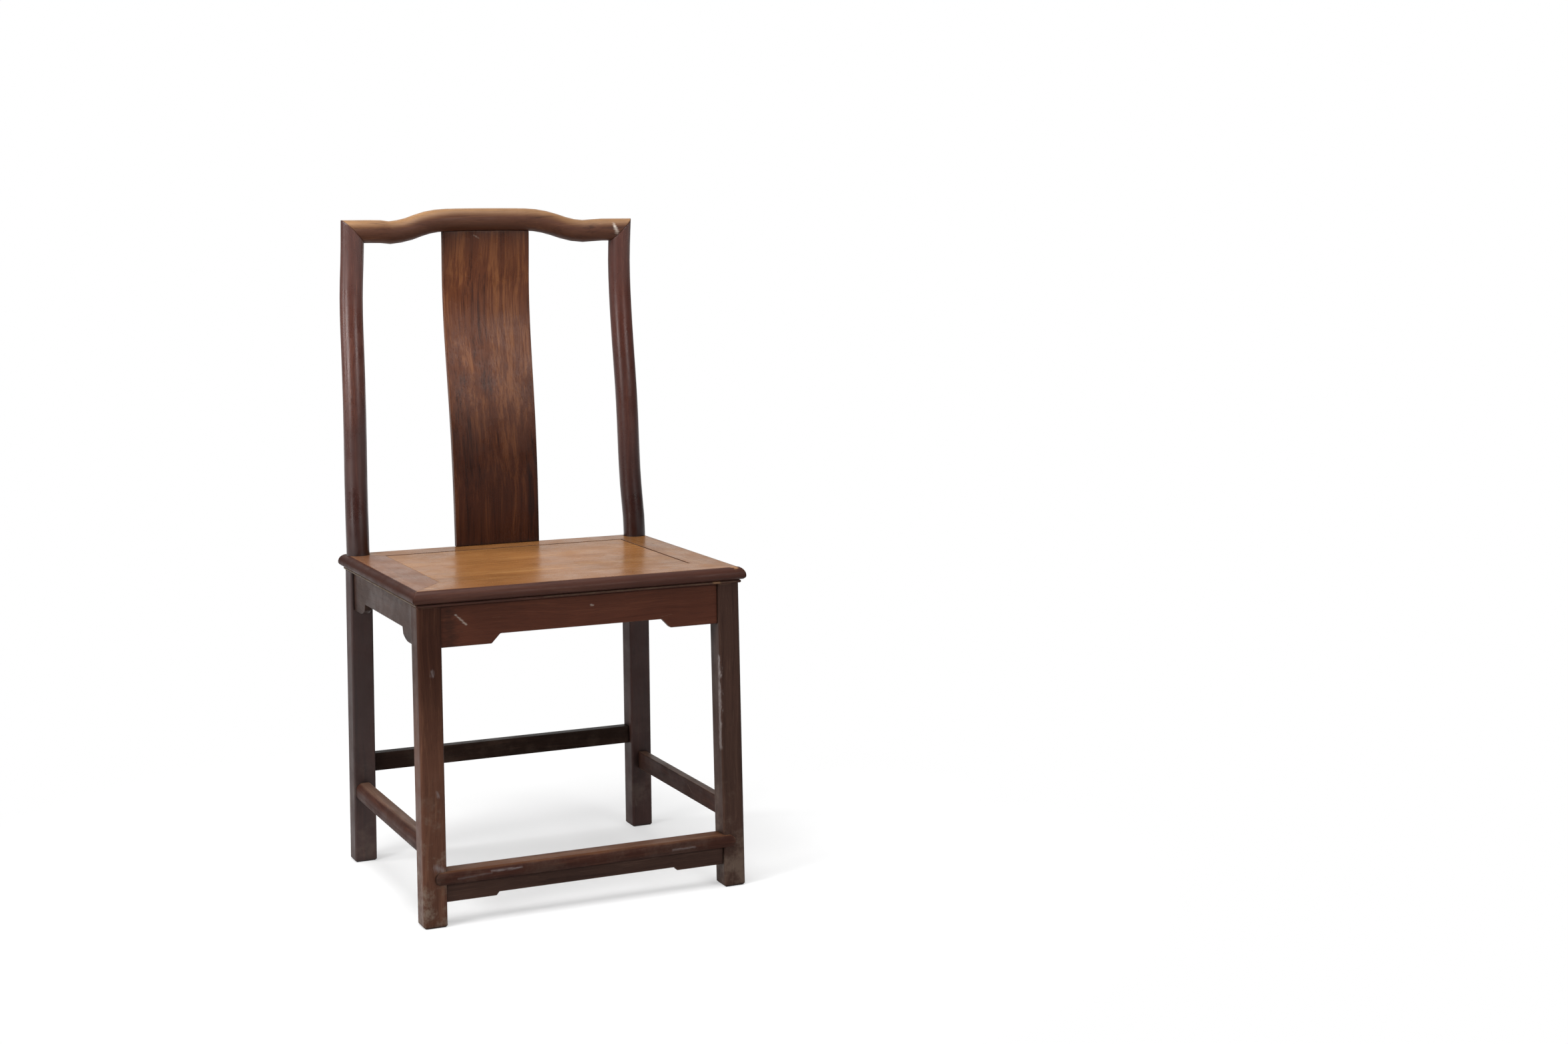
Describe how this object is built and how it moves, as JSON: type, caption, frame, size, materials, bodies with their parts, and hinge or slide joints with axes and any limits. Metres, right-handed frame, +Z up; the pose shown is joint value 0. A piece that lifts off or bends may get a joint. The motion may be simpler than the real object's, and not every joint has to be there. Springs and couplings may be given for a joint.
{
  "type": "side chair",
  "caption": "Armless east asian frame-and-panel side chair: square splayed legs, round bowed back posts, curved splat, arched crest rail and stretchers near the floor.",
  "frame": {"origin": "on the floor, under the middle of the chair's overall width and depth", "axes": "+Z up, the sitter faces -Y, +X is the right side as seen from the front"},
  "size_m": [0.508, 0.444, 1.0137],
  "materials": {
    "dark_wood": "dark red-brown hardwood, oiled and waxed, worn at the edges",
    "crest_wood": "hardwood rubbed paler by handling, waxed",
    "splat_wood": "figured reddish hardwood with upright grain, polished",
    "seat_wood": "worn and polished hardwood, warmer and paler than the legs"
  },
  "bodies": {
    "root": {"crest_rail": "crest_wood", "back_splat": "splat_wood", "left_rear_post": "dark_wood", "right_rear_post": "dark_wood", "left_front_leg": "dark_wood", "right_front_leg": "dark_wood", "seat_front_rail": "seat_wood", "seat_back_rail": "seat_wood", "seat_left_rail": "seat_wood", "seat_right_rail": "seat_wood", "seat_panel": "seat_wood", "left_panel_batten": "dark_wood", "right_panel_batten": "dark_wood", "front_apron": "dark_wood", "back_apron": "dark_wood", "left_apron": "dark_wood", "right_apron": "dark_wood", "front_stretcher": "dark_wood", "front_stretcher_apron": "dark_wood", "left_stretcher": "dark_wood", "right_stretcher": "dark_wood", "back_stretcher": "dark_wood"}
  },
  "joints": []
}
